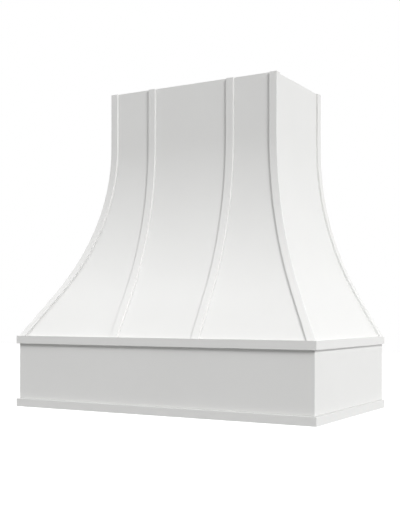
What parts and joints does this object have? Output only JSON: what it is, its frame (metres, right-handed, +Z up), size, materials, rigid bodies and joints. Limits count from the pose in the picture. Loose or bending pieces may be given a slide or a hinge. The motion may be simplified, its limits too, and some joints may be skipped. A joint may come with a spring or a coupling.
{
  "type": "range hood cover",
  "caption": "Painted wooden range hood cover with a square trimmed apron, a flared strapped body and a straight chimney, hung on a wall cleat.",
  "frame": {"origin": "on the wall plane, at the middle of the cover's bottom edge", "axes": "+X along the wall to the right as seen from the room, +Y into the wall, +Z up; the front faces -Y"},
  "size_m": [1.0826, 0.5873, 1.0668],
  "materials": {
    "white_paint": "satin white paint on wood",
    "birch_plywood": "bare sanded birch plywood",
    "pine": "bare planed pine",
    "screw_steel": "zinc-plated steel"
  },
  "bodies": {
    "wall": {"wall_cleat": "birch_plywood"},
    "cover": {"apron_front": "white_paint", "apron_left": "white_paint", "apron_right": "white_paint", "bottom_rear_rail": "birch_plywood", "cleat_rail": "birch_plywood", "cleat_screws": "screw_steel", "corner_glue_blocks": "pine", "corner_strap_front_left": "white_paint", "corner_strap_front_right": "white_paint", "corner_strap_side_left": "white_paint", "corner_strap_side_right": "white_paint", "deck_rail_front": "birch_plywood", "deck_rail_left": "birch_plywood", "deck_rail_rear": "birch_plywood", "deck_rail_right": "birch_plywood", "front_rib_left": "birch_plywood", "front_rib_right": "birch_plywood", "front_skin": "white_paint", "front_strap_left": "white_paint", "front_strap_right": "white_paint", "hip_rib_left": "birch_plywood", "hip_rib_right": "birch_plywood", "hood_cleat": "birch_plywood", "ledger_front": "pine", "ledger_left": "pine", "ledger_rear": "pine", "ledger_right": "pine", "left_skin": "white_paint", "lower_trim_front": "white_paint", "lower_trim_left": "white_paint", "lower_trim_right": "white_paint", "lower_wall_rail": "birch_plywood", "rear_rib_left": "birch_plywood", "rear_rib_right": "birch_plywood", "rear_strap_left": "white_paint", "rear_strap_right": "white_paint", "right_skin": "white_paint", "side_rib_left": "birch_plywood", "side_rib_right": "birch_plywood", "top_rail_front": "birch_plywood", "top_rail_left": "birch_plywood", "top_rail_rear": "birch_plywood", "top_rail_right": "birch_plywood", "upper_trim_front": "white_paint", "upper_trim_left": "white_paint", "upper_trim_right": "white_paint"},
    "liner": {"liner_panel": "white_paint", "liner_screws": "screw_steel"}
  },
  "joints": [
    {"name": "cover_lift", "type": "slide", "parent": "wall", "child": "cover", "axis": [0, 0, 1], "range_m": [0, 0.025]},
    {"name": "liner_drop", "type": "slide", "parent": "cover", "child": "liner", "axis": [0, 0, -1], "range_m": [0, 0.15]}
  ]
}
